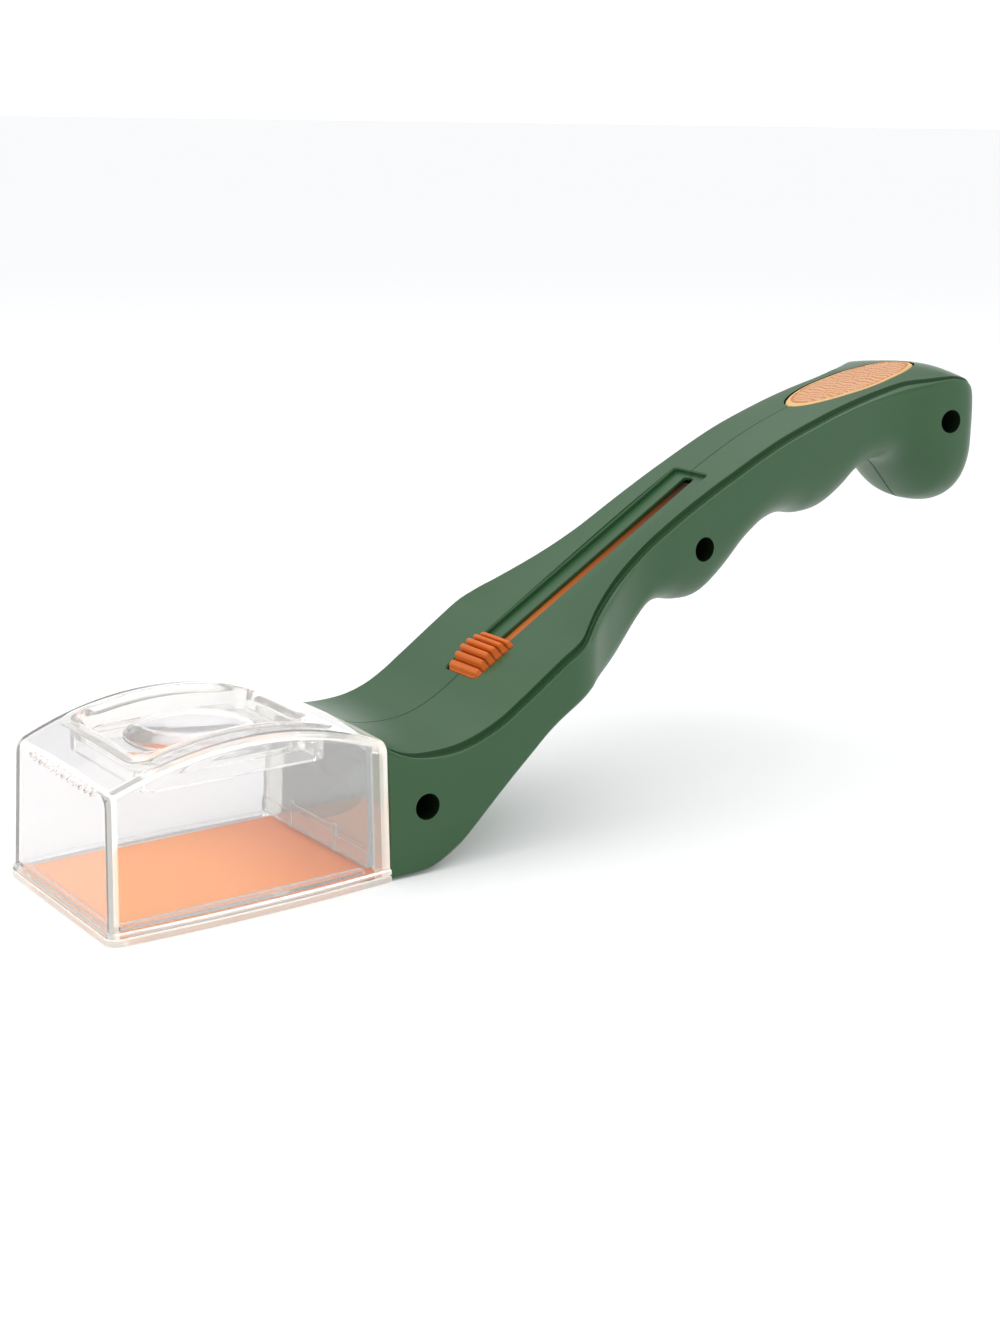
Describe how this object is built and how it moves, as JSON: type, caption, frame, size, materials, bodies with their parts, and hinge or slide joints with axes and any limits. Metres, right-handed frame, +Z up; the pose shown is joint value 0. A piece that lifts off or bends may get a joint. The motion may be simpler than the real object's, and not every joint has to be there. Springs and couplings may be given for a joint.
{
  "type": "bug catcher",
  "caption": "Hand-held bug catcher: clear domed capsule with a magnifying lens and a thin sliding door underneath, on a long wavy handle with a thumb slide in a slot.",
  "frame": {"origin": "middle of the footprint, at the height of the rim under the capsule", "axes": "+X from the capsule to the end of the handle, +Y across, +Z up"},
  "size_m": [0.3008, 0.0622, 0.1158],
  "materials": {
    "clear_plastic": "clear moulded plastic, glossy",
    "lens_plastic": "clear optical plastic, polished",
    "green_plastic": "dark green moulded plastic, satin",
    "orange_plastic": "orange moulded plastic, satin",
    "orange_sheet": "thin flexible orange sheet",
    "pad_rubber": "soft orange pad with fine ridges",
    "screw_steel": "dark plated steel"
  },
  "bodies": {
    "catcher": {"capsule_cover": "clear_plastic", "base_frame": "clear_plastic", "back_plate": "clear_plastic", "lens_frame": "clear_plastic", "magnifier_lens": "lens_plastic", "left_shell": "green_plastic", "right_shell": "green_plastic", "door_sheet": "orange_sheet", "sheet_strip": "orange_sheet", "thumb_pad": "pad_rubber", "screw_front": "screw_steel", "screw_middle": "screw_steel", "screw_rear": "screw_steel"},
    "slide": {"thumb_slide": "orange_plastic", "slide_clip": "orange_plastic"},
    "door": {"door_lip": "orange_sheet"}
  },
  "joints": [
    {"name": "thumb_slide", "type": "slide", "parent": "catcher", "child": "slide", "axis": [0.8582, 0, 0.5133], "range_m": [0, 0.076], "deforming": ["sheet_strip"]},
    {"name": "door_slide", "type": "slide", "parent": "catcher", "child": "door", "axis": [1, 0, 0], "range_m": [0, 0.076], "deforming": ["door_sheet"]}
  ],
  "couplings": [
    {"joint": "door_slide", "follows": "thumb_slide", "ratio": 1}
  ]
}
